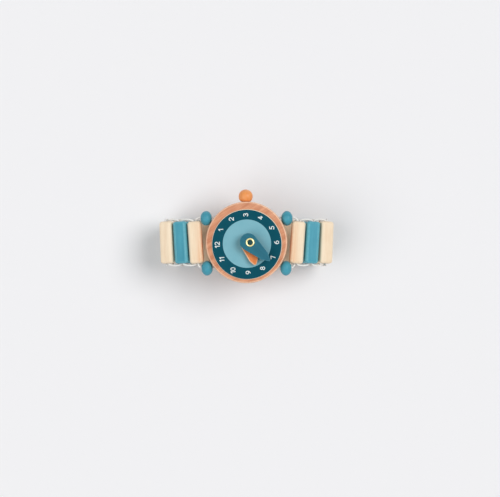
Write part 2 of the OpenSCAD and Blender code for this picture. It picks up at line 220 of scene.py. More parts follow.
class SlatPlace:
    """Where a slat lies: its middle, its size, and its own axes of width, length and outward thickness."""

    def __init__(self, name):
        mesh = NODES[name].data
        mesh.calc_loop_triangles()
        points = mesh_points(name)
        corners = points[np.array([t.vertices for t in mesh.loop_triangles])]
        normals = np.cross(corners[:, 1] - corners[:, 0], corners[:, 2] - corners[:, 0])
        areas = np.linalg.norm(normals, axis=1)
        middles = corners.mean(1)
        centre = (middles * areas[:, None]).sum(0) / areas.sum()
        # How the surface spreads about its middle, exact over each triangle, has the slat's own axes
        off, far = middles - centre, corners - centre
        spread = 9 * np.einsum("t,ti,tj->ij", areas, off, off)
        spread += np.einsum("t,tki,tkj->ij", areas, far, far)
        axes = np.linalg.eigh(spread)[1].T
        self.out, self.wide, self.long = (Vector(axis) for axis in axes)
        loop_middle = Vector((0, 0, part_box("case")[0].z / 2))
        if self.long.y < 0:
            self.long = -self.long
        if self.out.dot(Vector(centre) - loop_middle) < 0:
            self.out = -self.out
        self.wide = self.long.cross(self.out)
        frame_axes = np.array([self.wide, self.long, self.out])
        reach = points @ frame_axes.T
        self.size = Vector(reach.max(0) - reach.min(0))
        self.centre = Vector((reach.max(0) + reach.min(0)) / 2 @ frame_axes)
        self.name = name

    def turn(self):
        return Matrix((self.wide, self.long, self.out)).transposed().to_euler()

    def stop(self, end, depth, way):
        """Where the cord passes an end of the slat, on its inner or outer run, coming in or going out."""
        s = sizes()
        aside = self.wide * (way * s.cord_spread / 2) + self.out * (depth * s.cord_split / 2)
        return self.centre + self.long * (end * self.size.y / 2) + aside

    def into(self, end, depth, way):
        """A point on the same run, a little way into the bore."""
        return self.stop(end, depth, way).lerp(self.stop(-end, depth, -way), CORD_INSIDE / self.size.y)


def strap_order():
    """The names of the slats round the strap, from the one right of the case to the one left of it."""
    right = [f"slat_right_{i}" for i in range(1, SIDE_SLATS + 1)]
    left = [f"slat_left_{i}" for i in range(SIDE_SLATS, 0, -1)]
    return right + ["slat_middle"] + left


# Mesh helpers

def link(obj):
    bpy.context.scene.collection.objects.link(obj)
    return obj


def finish_mesh(mesh, sharp_turn=40):
    """Merges doubles, turns the faces outwards and shades all but the sharp edges smooth."""
    work = bmesh.new()
    work.from_mesh(mesh)
    bmesh.ops.remove_doubles(work, verts=work.verts, dist=WELD)
    bmesh.ops.recalc_face_normals(work, faces=work.faces)
    work.to_mesh(mesh)
    work.free()
    mesh.shade_smooth()
    mesh.set_sharp_from_angle(angle=math.radians(sharp_turn))
    return mesh


def mesh_object(name, points, faces, sharp_turn=40):
    mesh = bpy.data.meshes.new(name)
    mesh.from_pydata([tuple(p) for p in points], [], faces)
    return link(bpy.data.objects.new(name, finish_mesh(mesh, sharp_turn)))


def arc(middle, radius, start, stop, steps):
    """Points on an arc or part of an oval, its angles in degrees."""
    rx, ry = radius if isinstance(radius, tuple) else (radius, radius)
    turns = [math.radians(start + (stop - start) * i / steps) for i in range(steps + 1)]
    return [(middle[0] + rx * math.cos(a), middle[1] + ry * math.sin(a)) for a in turns]


def circle(middle, radius, count):
    """Points round a whole circle."""
    return arc(middle, radius, 0, 360 - 360 / count, count - 1)


def ring_faces(rings, count, closed=True):
    """The faces between rings of points. Where it is closed, the last ring is joined to the first."""
    faces = []
    for j in range(rings if closed else rings - 1):
        k = (j + 1) % rings
        for i in range(count):
            n = (i + 1) % count
            faces.append((j * count + i, j * count + n, k * count + n, k * count + i))
    return faces


def turned(name, profile, place, axis="Z", around=96, closed=False, sharp_turn=40):
    """A lathe-turned piece. The profile's points are a radius and a height along the axis."""
    points = []
    for r, h in profile:
        for i in range(around):
            a = 2 * math.pi * i / around
            u, v = r * math.cos(a), r * math.sin(a)
            points.append(Vector({"Z": (u, v, h), "X": (h, u, v), "Y": (v, h, u)}[axis]) + place)
    return mesh_object(name, points, ring_faces(len(profile), around, closed), sharp_turn)


def cut(obj, cutters):
    """Takes the cutters' shapes out of a piece."""
    for cutter in cutters:
        modifier = obj.modifiers.new("Cut", "BOOLEAN")
        modifier.operation = "DIFFERENCE"
        modifier.solver = "EXACT"
        modifier.object = cutter
    evaluated = obj.evaluated_get(bpy.context.evaluated_depsgraph_get())
    mesh = bpy.data.meshes.new_from_object(evaluated)
    obj.modifiers.clear()
    if len(mesh.polygons) <= len(obj.data.polygons):
        raise RuntimeError(f"the holes of {obj.name} weren't cut")
    obj.data = finish_mesh(mesh, 30)
    for cutter in cutters:
        bpy.data.objects.remove(cutter)
    return obj


def inset_outline(outline, inset):
    """The outline moved inwards by a distance, each corner along its own bisector."""
    count = len(outline)
    moved = []
    for i in range(count):
        before, here, after = (Vector(outline[j % count]) for j in (i - 1, i, i + 1))
        a = (here - before).normalized()
        b = (after - here).normalized()
        inward = Vector((-a.y - b.y, a.x + b.x))
        moved.append(here + inward * inset / max(1 + a.dot(b), 0.4))
    return moved


def plate(name, outline, low, high, edge, hole_middle, hole_r, hole_edge, steps=5, bands=()):
    """A flat piece with rounded edges and one round hole. The outline runs anticlockwise. Each band is the
    distance from the edge at which the upper face has one more row of points."""
    def levels(soft, more=()):
        quarter = [QUARTER * i / steps for i in range(steps + 1)]
        bottom = [(soft * (1 - math.sin(q)), low + soft * (1 - math.cos(q))) for q in quarter]
        top = [(inset, low + high - z) for inset, z in reversed(bottom)]
        # A row of points just inside the rounding keeps the flat face flat
        flat = soft * 1.3
        return [(flat, low)] + bottom + top + [(flat, high)] + [(inset, high) for inset in more]

    work = bmesh.new()
    hole_middle = Vector(hole_middle)
    spokes = [Vector(p) - hole_middle for p in circle(hole_middle, 1.0, HOLE_ROUND)]
    outer, inner = [], []
    for inset, z in levels(edge, bands):
        outer.append([work.verts.new((*p, z)) for p in inset_outline(outline, inset)])
    for inset, z in levels(hole_edge):
        inner.append([work.verts.new((*(hole_middle + p * (hole_r + inset)), z)) for p in spokes])
    for rows in (outer, inner):
        count = len(rows[0])
        for lower, upper in zip(rows, rows[1:]):
            for i in range(count):
                n = (i + 1) % count
                work.faces.new((lower[i], lower[n], upper[n], upper[i]))
    for level in (0, -1):
        ring = []
        for row in (outer[level], inner[level]):
            ring += [work.edges.get((row[i], row[(i + 1) % len(row)])) for i in range(len(row))]
        bmesh.ops.triangle_fill(work, use_beauty=True, edges=ring)
    mesh = bpy.data.meshes.new(name)
    work.to_mesh(mesh)
    work.free()
    return link(bpy.data.objects.new(name, finish_mesh(mesh)))


# Nodes of materials and of Geometry Nodes

def set_input(tree, node, label, value):
    """Joins an output to an input, or sets the input. Its label has _ for a space, or is a number after _."""
    socket = node.inputs[int(label[1:])] if label[0] == "_" else node.inputs[label.replace("_", " ")]
    if isinstance(value, bpy.types.NodeSocket):
        tree.links.new(value, socket)
    else:
        socket.default_value = value


def add_node(tree, kind, settings=(), **inputs):
    node = tree.nodes.new(kind)
    for label, value in dict(settings).items():
        setattr(node, label, value)
    for label, value in inputs.items():
        set_input(tree, node, label, value)
    return node


# Geometry Nodes

def new_tree(name, inputs):
    """A Geometry Nodes tree with named inputs, and a function that adds a node and gives its first output."""
    tree = bpy.data.node_groups.new(name, "GeometryNodeTree")
    tree.interface.new_socket("Geometry", in_out="INPUT", socket_type="NodeSocketGeometry")
    for label, kind in inputs.items():
        tree.interface.new_socket(label, in_out="INPUT", socket_type="NodeSocket" + kind)
    tree.interface.new_socket("Geometry", in_out="OUTPUT", socket_type="NodeSocketGeometry")

    def add(kind, settings=(), **joined):
        return add_node(tree, kind, settings, **joined).outputs[0]

    return tree, add


def finish_tree(tree, add, shape, material):
    """Ends a tree with real points in their material."""
    real = add("GeometryNodeRealizeInstances", Geometry=shape)
    coated = add("GeometryNodeSetMaterial", Geometry=real, Material=material)
    add_node(tree, "NodeGroupOutput", Geometry=coated)
    return tree


def grown(name, tree, settings, base=None):
    """The plain mesh that a tree makes with these settings."""
    obj = link(bpy.data.objects.new(name, base or bpy.data.meshes.new(name)))
    modifier = obj.modifiers.new("Shape", "NODES")
    modifier.node_group = tree
    names = {item.name: item.identifier for item in tree.interface.items_tree
             if item.item_type == "SOCKET" and item.in_out == "INPUT"}
    for label, value in settings.items():
        modifier[names[label]] = value
    evaluated = obj.evaluated_get(bpy.context.evaluated_depsgraph_get())
    mesh = bpy.data.meshes.new_from_object(evaluated)
    obj.modifiers.clear()
    if not mesh.polygons:
        raise RuntimeError(f"the tree {tree.name} made nothing for {name}")
    mesh.name = name
    obj.data = mesh
    return obj


POINT_NUMBER = {"data_type": "FLOAT", "domain": "POINT"}


def threaded_tree():
    """Puts a copy of a blank in its place, uneven as sanded wood is, with a number for its board."""
    inputs = {"Blank": "Object", "Place": "Vector", "Turn": "Vector", "Unevenness": "Float", "Seed": "Float",
              "Board": "Float", "Material": "Material"}
    tree, add = new_tree("Threaded piece", inputs)
    given = add_node(tree, "NodeGroupInput").outputs
    blank = add_node(tree, "GeometryNodeObjectInfo", Object=given["Blank"]).outputs["Geometry"]
    point = add("GeometryNodePoints", Count=1, Position=given["Place"])
    turn = add("FunctionNodeEulerToRotation", Euler=given["Turn"])
    placed = add("GeometryNodeInstanceOnPoints", Points=point, Instance=blank, Rotation=turn)
    real = add("GeometryNodeRealizeInstances", Geometry=placed)
    noise = add_node(tree, "ShaderNodeTexNoise", {"noise_dimensions": "4D"}, W=given["Seed"], Scale=140.0,
                     Detail=1.0).outputs["Color"]
    centred = add("ShaderNodeVectorMath", {"operation": "SUBTRACT"}, _0=noise, _1=(0.5, 0.5, 0.5))
    stray = add("ShaderNodeVectorMath", {"operation": "SCALE"}, _0=centred, Scale=given["Unevenness"])
    uneven = add("GeometryNodeSetPosition", Geometry=real, Offset=stray)
    board = add("GeometryNodeStoreNamedAttribute", POINT_NUMBER, Geometry=uneven, Name="board",
                Value=given["Board"])
    return finish_tree(tree, add, board, given["Material"])


def braid_tree():
    """Sweeps a braided cord along the edges of a mesh. Its strands wind both ways over each other."""
    inputs = {"Radius": "Float", "Ring spacing": "Float", "Strands": "Float", "Pitch": "Float",
              "Depth": "Float", "Material": "Material"}
    tree, add = new_tree("Braided elastic", inputs)
    given = add_node(tree, "NodeGroupInput").outputs

    def maths(operation, a, b=0.0):
        return add("ShaderNodeMath", {"operation": operation}, _0=a, _1=b)

    def captured(curve, label, output):
        node = tree.nodes.new("GeometryNodeCaptureAttribute")
        node.capture_items.new("FLOAT", label)
        tree.links.new(curve, node.inputs["Geometry"])
        tree.links.new(add_node(tree, "GeometryNodeSplineParameter").outputs[output], node.inputs[label])
        return node.outputs["Geometry"], node.outputs[label]

    path = add("GeometryNodeMeshToCurve", Mesh=given["Geometry"])
    even = add("GeometryNodeResampleCurve", {"mode": "LENGTH"}, Curve=path, Length=given["Ring spacing"])
    path, along = captured(even, "Along", "Length")
    section = add("GeometryNodeCurvePrimitiveCircle", Resolution=16, Radius=given["Radius"])
    section, around = captured(section, "Around", "Factor")
    sweep = add("GeometryNodeCurveToMesh", Curve=path, Profile_Curve=section, Fill_Caps=True)
    wound = maths("MULTIPLY", maths("MULTIPLY", around, 2 * math.pi), given["Strands"])
    travel = maths("MULTIPLY", maths("DIVIDE", along, given["Pitch"]), given["Strands"])
    travel = maths("MULTIPLY", travel, 2 * math.pi)
    strands = [maths("COSINE", maths(way, wound, travel)) for way in ("ADD", "SUBTRACT")]
    relief = maths("MAXIMUM", *strands)
    height = maths("MULTIPLY", maths("SUBTRACT", relief, 1.0), given["Depth"])
    normal = add("GeometryNodeInputNormal")
    lift = add("ShaderNodeVectorMath", {"operation": "SCALE"}, _0=normal, Scale=height)
    woven = add("GeometryNodeSetPosition", Geometry=sweep, Offset=lift)
    stored = add("GeometryNodeStoreNamedAttribute", POINT_NUMBER, Geometry=woven, Name="braid", Value=relief)
    smooth = add("GeometryNodeSetShadeSmooth", Geometry=stored)
    return finish_tree(tree, add, smooth, given["Material"])


# Materials

# Nearly all values of a noise lie between these
NOISE_SPAN = (0.3, 0.7)
# Half the width in which one printed colour gives way to the next, in millimetres
PRINT_BLUR = 0.03


class Finish:
    """A material under construction. Its methods add a node and give back the output that is used next."""

    def __init__(self, name):
        self.material = bpy.data.materials.new(name)
        self.material.use_nodes = True
        self.tree = self.material.node_tree

    def set(self, **values):
        for label, value in values.items():
            set_input(self.tree, self.tree.nodes["Principled BSDF"], label, value)

    def node(self, kind, settings=(), output=0, **inputs):
        return add_node(self.tree, kind, settings, **inputs).outputs[output]

    def place(self, turn=0.0, shift=(0, 0, 0)):
        """The place on the piece in millimetres, turned about Z so that the grain runs along Y."""
        where = self.node("ShaderNodeTexCoord", output="Object")
        return self.node("ShaderNodeMapping", Vector=where, Rotation=(0, 0, turn), Scale=(PER_MM,) * 3,
                         Location=shift)

    def stretched(self, where, scale):
        return self.node("ShaderNodeMapping", Vector=where, Scale=scale)

    def noise(self, where, scale, detail=3.0, rough=0.5):
        return self.node("ShaderNodeTexNoise", Vector=where, Scale=scale, Detail=detail, Roughness=rough)

    def attribute(self, name):
        return self.node("ShaderNodeAttribute", {"attribute_name": name}, "Fac")

    def maths(self, operation, a, b):
        return self.node("ShaderNodeMath", {"operation": operation}, _0=a, _1=b)

    def plus(self, a, b):
        return self.maths("ADD", a, b)

    def minus(self, a, b):
        return self.maths("SUBTRACT", a, b)

    def times(self, a, b):
        return self.maths("MULTIPLY", a, b)

    def ranged(self, value, low, high, to_low=0.0, to_high=1.0):
        return self.node("ShaderNodeMapRange", Value=value, From_Min=low, From_Max=high, To_Min=to_low,
                         To_Max=to_high)

    def spread(self, noise, to_low=0.0, to_high=1.0):
        """A noise stretched over a range."""
        return self.ranged(noise, *NOISE_SPAN, to_low, to_high)

    def mix(self, share, a, b):
        return self.node("ShaderNodeMix", {"data_type": "RGBA"}, 2, _0=share, _6=a, _7=b)

    def bump(self, height, strength, depth_mm):
        return self.node("ShaderNodeBump", Height=height, Strength=strength, Distance=depth_mm * MM)


def rgba(value):
    return (*value, 1.0)


# For each wood: its stain, its grain and its worn edges, which on the case and the slats' long edges are also
# a painted highlight, the turn of its grain or the hand that it follows, how strongly it is figured, its
# roughness and its gloss
WOODS = {
    "salmon_wood": ("case", "case_deep", "case_edge", math.radians(58), 1.7, 0.55, 0.3),
    "plain_wood": ("plain", "plain_deep", "plain", 0.0, 0.8, 0.52, 0.3),
    "dowel_wood": ("plain", "plain_deep", "plain", 0.0, 0.9, 0.6, 0.3),
    "teal_slats": ("teal", "teal_deep", "teal_edge", 0.0, 0.8, 0.45, 0.22),
    "teal_beads": ("teal", "teal_deep", "teal_edge", QUARTER, 0.8, 0.4, 0.25),
    "crown_wood": ("orange", "orange_deep", "orange_edge", 0.0, 0.7, 0.38, 0.3),
    "hour_wood": ("hour", "hour_deep", "orange_edge", "hour_hand", 0.8, 0.5, 0.3),
    "minute_wood": ("deep_teal", "deep_teal_grain", "deep_teal_edge", "minute_hand", 0.8, 0.48, 0.12),
}
# How far a board's number shifts the pattern, in millimetres for each 1
BOARD_STEP = {"X": 37.0, "Y": 53.0, "Z": 29.0}


def wood(name):
    """Fine close-grained wood: long fibres, faint growth rings, short dark flecks, paler edges that are worn
    and on the case and the slats' long edges a painted highlight, darker cut ends with painted shade in the
    bores, and on the first slats a painted reflection of the orange case.
    """
    c = colours()
    stain, deep, edge = (rgba(getattr(c, label)) for label in WOODS[name][:3])
    turn, figure, rough, gloss = WOODS[name][3:]
    if isinstance(turn, str):
        turn = QUARTER - hand_turn(turn)
    f = Finish(name)
    board = f.attribute("board")
    shifts = {axis: f.times(board, step) for axis, step in BOARD_STEP.items()}
    shift = f.node("ShaderNodeCombineXYZ", **shifts)
    where = f.node("ShaderNodeVectorMath", {"operation": "ADD"}, _0=f.place(turn), _1=shift)
    fibres = f.noise(f.stretched(where, (1, 0.05, 1)), 3.2, 5.0, 0.6)
    streaks = f.noise(f.stretched(where, (1, 0.09, 1)), 0.75)
    tone = f.noise(where, 0.12, 2.0)
    rings = f.node("ShaderNodeTexWave", {"bands_direction": "DIAGONAL"}, "Fac", Scale=0.16, Distortion=3.5,
                   Detail=2.0, Detail_Scale=0.6, Vector=f.stretched(where, (1, 0.03, 1)))
    flecks = f.node("ShaderNodeTexVoronoi", output="Distance", Scale=1.0,
                    Vector=f.stretched(where, (3.0, 0.5, 3.0)))
    fleck = f.ranged(flecks, 0.16, 0.05)
    # How much each feature darkens the wood
    grain = f.times(f.spread(fibres), 0.34)
    features = ((f.spread(streaks), 0.34), (rings, 0.2), (fleck, 0.3), (f.spread(tone, -0.5, 0.5), 0.35))
    for feature, share in features:
        grain = f.plus(grain, f.times(feature, share))
    paint = f.mix(f.times(f.minus(grain, 0.12), figure), stain, deep)
    # Painted reflection of the orange case, with painted shade, on the first slats' side that faces it
    if name == "plain_wood":
        paint = f.mix(f.attribute("warm"), paint, rgba(c.warm))
    # Paler edges: worn stain, and on the case and the slats' long edges a painted highlight
    wear_and_highlight_share = f.times(f.attribute("wear"), f.ranged(f.noise(where, 0.9), 0.35, 0.65, 0.6, 1.0))
    paint = f.mix(wear_and_highlight_share, paint, edge)
    # Darker at cut end grain, and inside the bores as painted shade
    paint = f.mix(f.times(f.attribute("end"), 0.45), paint, deep)
    dry = f.plus(f.times(fibres, 0.6), f.times(fleck, 0.4))
    f.set(Base_Color=paint, Roughness=f.ranged(dry, 0.2, 0.8, rough - 0.07, rough + 0.1),
          Normal=f.bump(f.minus(fibres, f.times(fleck, 0.7)), 0.35, 0.05), Specular_IOR_Level=gloss)
    return f.material


def printed_card(name):
    """The dial: a light disc in a dark ring, printed on card whose cut edge is bare, the bare band wider on
    the upper right as a painted highlight of the lit edge.
    """
    s, c = sizes(), colours()
    middle, size = node_box("dial")
    f = Finish(name)
    where = f.place()
    stray = f.spread(f.noise(where, 6.0, 2.0), -0.02, 0.02)

    def outside(point, radius):
        """1 outside a circle and 0 inside it, with an edge as blurred as print is."""
        around = f.place(shift=tuple(-v * PER_MM for v in point))
        flat = f.node("ShaderNodeVectorMath", {"operation": "MULTIPLY"}, _0=around, _1=(1, 1, 0))
        off = f.plus(f.node("ShaderNodeVectorMath", {"operation": "LENGTH"}, "Value", _0=flat), stray)
        return f.ranged(off, radius * PER_MM - PRINT_BLUR, radius * PER_MM + PRINT_BLUR)

    cloud = f.spread(f.noise(where, 0.25, 2.0), 0.0, 0.14)
    fibre = f.spread(f.noise(where, 9.0, 4.0, 0.7), 0.0, 0.1)
    shade = f.plus(cloud, fibre)
    light = f.mix(shade, rgba(c.print_centre), rgba(c.teal))
    dark = f.mix(f.times(shade, 0.5), rgba(c.print_ring), rgba(c.deep_teal))
    printed = f.mix(outside(print_middle(), s.centre_r), light, dark)
    # Moved left and down, so the bare band is wider on the upper right: a painted highlight of the lit cut
    # edge
    printed_round = middle - Vector((s.bare_left, s.bare_down, 0))
    bare = outside(printed_round, size.x / 2 - s.bare_edge)
    f.set(Base_Color=f.mix(bare, printed, rgba(c.card)), Roughness=f.ranged(fibre, 0.0, 0.1, 0.55, 0.68),
          Normal=f.bump(fibre, 0.5, 0.02), Specular_IOR_Level=0.08)
    return f.material


def ink(name):
    """Thick white printing ink, with a faint grain from the card beneath."""
    c = colours()
    f = Finish(name)
    grain = f.noise(f.place(), 8.0, 3.0, 0.7)
    paint = f.mix(f.ranged(grain, 0.35, 0.75, 0.0, 0.16), rgba(c.ink), rgba(c.print_centre))
    f.set(Base_Color=paint, Roughness=f.spread(grain, 0.42, 0.55), Normal=f.bump(grain, 0.3, 0.01),
          Specular_IOR_Level=0.2)
    return f.material


# How strongly each brass is tarnished at most
TARNISH = {"brass": 0.35, "back_brass": 0.7}


def brass(name):
    """Rolled brass with draw marks round it, some tarnish, and painted shade in the bore of the rivet."""
    c = colours()
    f = Finish(name)
    where = f.place()
    cloud = f.noise(where, 1.4)
    marks = f.noise(f.stretched(where, (0.6, 0.6, 9.0)), 3.0)
    paint = f.mix(f.ranged(cloud, 0.4, 0.75, 0.0, TARNISH[name]), rgba(c.brass), rgba(c.brass_dull))
    # Painted shade: dark brown inside the rivet's bore
    paint = f.mix(f.attribute("inside"), paint, rgba(c.brass_inside))
    f.set(Base_Color=paint, Metallic=1.0, Roughness=f.ranged(f.plus(cloud, marks), 0.7, 1.3, 0.2, 0.38),
          Normal=f.bump(marks, 0.25, 0.01))
    return f.material


def fibre_board(name):
    """Grey-brown pressed fibre, speckled and matt."""
    c = colours()
    f = Finish(name)
    where = f.place()
    speck = f.noise(where, 5.0, 5.0, 0.75)
    strands = f.noise(f.stretched(where, (1.0, 1.0, 7.0)), 2.0)
    both = f.times(f.plus(speck, strands), 0.5)
    f.set(Base_Color=f.mix(f.ranged(both, 0.35, 0.65), rgba(c.fibre), rgba(c.plain_deep)),
          Roughness=f.spread(speck, 0.75, 0.92), Normal=f.bump(both, 0.6, 0.04))
    return f.material


def elastic(name):
    """White braided elastic: shaded grooves between strands, and fine yarn along each."""
    c = colours()
    f = Finish(name)
    groove = f.ranged(f.attribute("braid"), 0.75, -0.1)
    yarn = f.noise(f.place(), 14.0, 4.0, 0.7)
    paint = f.mix(f.times(groove, 0.6), rgba(c.elastic), rgba(c.groove))
    paint = f.mix(f.ranged(yarn, 0.45, 0.8, 0.0, 0.15), paint, rgba(c.groove))
    f.set(Base_Color=paint, Roughness=f.spread(yarn, 0.7, 0.85), Normal=f.bump(yarn, 0.5, 0.03),
          Sheen_Weight=0.25, Sheen_Roughness=0.5)
    return f.material


OTHER_FINISHES = {"printed_card": printed_card, "ink": ink, "brass": brass, "back_brass": brass,
                  "fibre": fibre_board, "white_elastic": elastic}
MADE = {}


def finish_of(name):
    """Each finish is made once, when the first piece needs it."""
    if name not in MADE:
        MADE[name] = wood(name) if name in WOODS else OTHER_FINISHES[name](name)
    return MADE[name]


def dress(obj, finish, body=None, replaced=()):
    """Gives a piece its finish, the body it rides on and the nodes it stands for."""
    obj.data.materials.clear()
    obj.data.materials.append(finish_of(finish))
    if body:
        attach(obj, body)
    if replaced:
        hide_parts(*replaced)
    return obj


def paint_attribute(obj, name, value_at):
    """Stores a number at each point of a piece, worked out from the point's place."""
    layer = obj.data.attributes.get(name) or obj.data.attributes.new(name, "FLOAT", "POINT")
    values = [value_at(v.co) for v in obj.data.vertices]
    layer.data.foreach_set("value", values)


def share_between(value, start, stop):
    """A smooth step from 0 at start to 1 at stop."""
    t = min(max((value - start) / (stop - start), 0), 1)
    return t * t * (3 - 2 * t)


# Case, crown and dial

def make_case():
    s = sizes()
    middle, size = node_box("case")
    radius, half, edge, soft = size.x / 2, size.z / 2, s.case_edge, s.mouth
    lower = arc((radius - edge, edge - half), edge, -90, 0, 9)
    upper = arc((radius - edge, half - edge), edge, 0, 90, 9)
    # A row of points just inside the rounding keeps the flat face flat
    flat = radius - edge * 1.15
    profile = [(0, -half), (flat, -half)] + lower + upper + [(flat, half), (0, half)]
    disc = turned("case_wood", profile, middle, around=LARGE_ROUND)
    # How far a cutter stands out of the wood
    over = edge
    stepped = [(0, -half - over), (s.recess + soft, -half - over), (s.recess + soft, -half),
               (s.recess, soft - half), (s.recess, s.recess_depth - half),
               (s.eyelet_room, s.recess_depth - half), (s.eyelet_room, half + over), (0, half + over)]
    cutters = [turned("cutter", stepped, Vector((*PIVOT, middle.z)), around=HOLE_ROUND)]
    hole_r = s.case_hole / 2
    mouth_x = math.sqrt(radius ** 2 - cord_side() ** 2)
    halfway = [(0, radius), (hole_r * 2, radius), (hole_r + soft, mouth_x), (hole_r, mouth_x - 2 * soft)]
    flare = [(r, -x) for r, x in halfway] + halfway[::-1]
    for side in ENDS:
        place = Vector((middle.x, middle.y + side * cord_side(), middle.z))
        cutters.append(turned("cutter", flare, place, "X", NARROW_ROUND))
    ball = node_box("crown_ball")[0]
    dowel_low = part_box("crown_peg")[0].y
    peg = [(0, dowel_low), (s.peg_hole / 2, dowel_low), (s.peg_hole / 2, radius + over), (0, radius + over)]
    cutters.append(turned("cutter", peg, Vector((ball.x, 0, middle.z)), "Y", NARROW_ROUND))
    cut(disc, cutters)
    band = s.case_pale

    def wear(p):
        """Pale round the edges of both faces, and a little less so on the left: a painted highlight on the
        rounded rim, brighter on the right towards the lamp.
        """
        off = (p - middle).xy
        from_face = half - abs(p.z - middle.z)
        corner = 1 - share_between(radius - off.length, band * 0.8, band * 1.15)
        corner *= 1 - share_between(from_face, band * 0.6, edge)
        return corner * (0.9 + 0.1 * off.x / radius)

    paint_attribute(disc, "wear", wear)
    dress(disc, "salmon_wood", "case_group", ["case"])


def make_crown():
    middle, size = node_box("crown_ball")
    radius = size.x / 2
    low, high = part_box("crown_ball")
    ball_y = high.y - radius
    seat = low.y - ball_y
    seat_r = math.sqrt(radius ** 2 - seat ** 2)
    seat_turn = math.degrees(math.atan2(seat, seat_r))
    room = sizes().peg_hole / 2
    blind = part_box("crown_peg")[1].y - ball_y + GLUE
    # The edge of the flat seat is softened a little
    outside = arc((0, 0), radius, seat_turn + 2, 90, 40)
    outside[-1] = (0, radius)
    profile = [(0, blind), (room, blind), (room, seat), (seat_r * 0.97, seat)] + outside
    ball = turned("crown_ball_wood", profile, Vector((middle.x, ball_y, middle.z)), "Y", SMALL_ROUND)
    # The ball is painted paler towards its outer end
    paint_attribute(ball, "wear", lambda p: 0.35 * share_between(p.y - ball_y, radius * 0.5, radius))
    dress(ball, "crown_wood", "case_group", ["crown_ball"])
    dowel = NODES["crown_peg"]
    dowel.data.materials.clear()
    dowel.data.materials.append(finish_of("dowel_wood"))


def print_middle():
    """The middle of the print, which isn't quite the middle of the card."""
    s = sizes()
    return node_box("dial")[0] + Vector((s.print_right, s.print_up, 0))


def make_dial():
    s = sizes()
    middle, size = node_box("dial")
    low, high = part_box("dial")
    outline = circle(middle.xy, size.x / 2, LARGE_ROUND)
    card = plate("dial_card", outline, low.z, high.z, CARD_EDGE, PIVOT, s.eyelet_room, CARD_HOLE_EDGE,
                 steps=3)
    dress(card, "printed_card", "case_group", ["dial"])
    for hour in range(1, 13):
        numeral(hour, print_middle(), high.z)


# Width of a digit as it is drawn, before it is stretched to its size, and the room between two
DIGIT_SHARE = 0.6
DIGIT_GAP = 0.13


def strokes_of(digit):
    """The middle lines of a digit's strokes, in shares of its height. Each digit is drawn plain and round."""
    wide = DIGIT_SHARE
    mid = wide / 2
    bowl = (0.3, 0.31)
    drawn = {
        "0": [arc((mid, 0.5), (mid, 0.5), 0, 360, 28)],
        "1": [[(0.02, 0.76), (0.3, 1), (0.3, 0)]],
        "2": [arc((mid, 0.7), 0.3, 165, -38, 14) + [(0, 0), (wide + 0.02, 0)]],
        "3": [arc((0.27, 0.745), (0.26, 0.255), 150, -90, 14)
              + arc((0.27, 0.255), (0.31, 0.255), 90, -150, 16)],
        "4": [[(0.44, 0), (0.44, 1), (0, 0.3), (wide + 0.04, 0.3)]],
        "5": [[(0.54, 1), (0.12, 1), (0.07, 0.56)] + arc((0.27, 0.31), (0.32, 0.31), 122, -145, 18)],
        "6": [arc((mid, bowl[1]), bowl, 0, 360, 24), arc((0.6, 0.4), (0.6, 0.6), 180, 105, 10)],
        "7": [[(0, 1), (wide, 1), (0.2, 0)]],
        "8": [arc((mid, 0.755), (0.25, 0.245), 0, 360, 22), arc((mid, 0.26), (0.3, 0.26), 0, 360, 24)],
    }
    drawn["9"] = [[(wide - x, 1 - y) for x, y in line] for line in drawn["6"]]
    return drawn[digit]


def inked(lines, stroke):
    """One flat sheet of triangles that covers strokes of a round pen along the lines. Loops stay open."""
    points, shapes = [], []

    def add(shape):
        shapes.append(list(range(len(points), len(points) + len(shape))))
        points.extend(Vector(p) for p in shape)

    for line in lines:
        for x, y in line:
            add(circle((x, y), stroke / 2, 16))
        for a, b in zip(line, line[1:]):
            a, b = Vector(a), Vector(b)
            side = (b - a).orthogonal().normalized() * stroke / 2
            add([a - side, b - side, b + side, a + side])
    turned_right = []
    for shape in shapes:
        corners = [points[i] for i in shape]
        area = sum(p.cross(q) for p, q in zip(corners, corners[1:] + corners[:1]))
        turned_right.append(shape if area > 0 else shape[::-1])
    corners, _, triangles, _, _, covered_by = delaunay_2d_cdt(points, [], turned_right, 1, 1e-4)
    return corners, [triangle for triangle, shapes in zip(triangles, covered_by) if shapes]


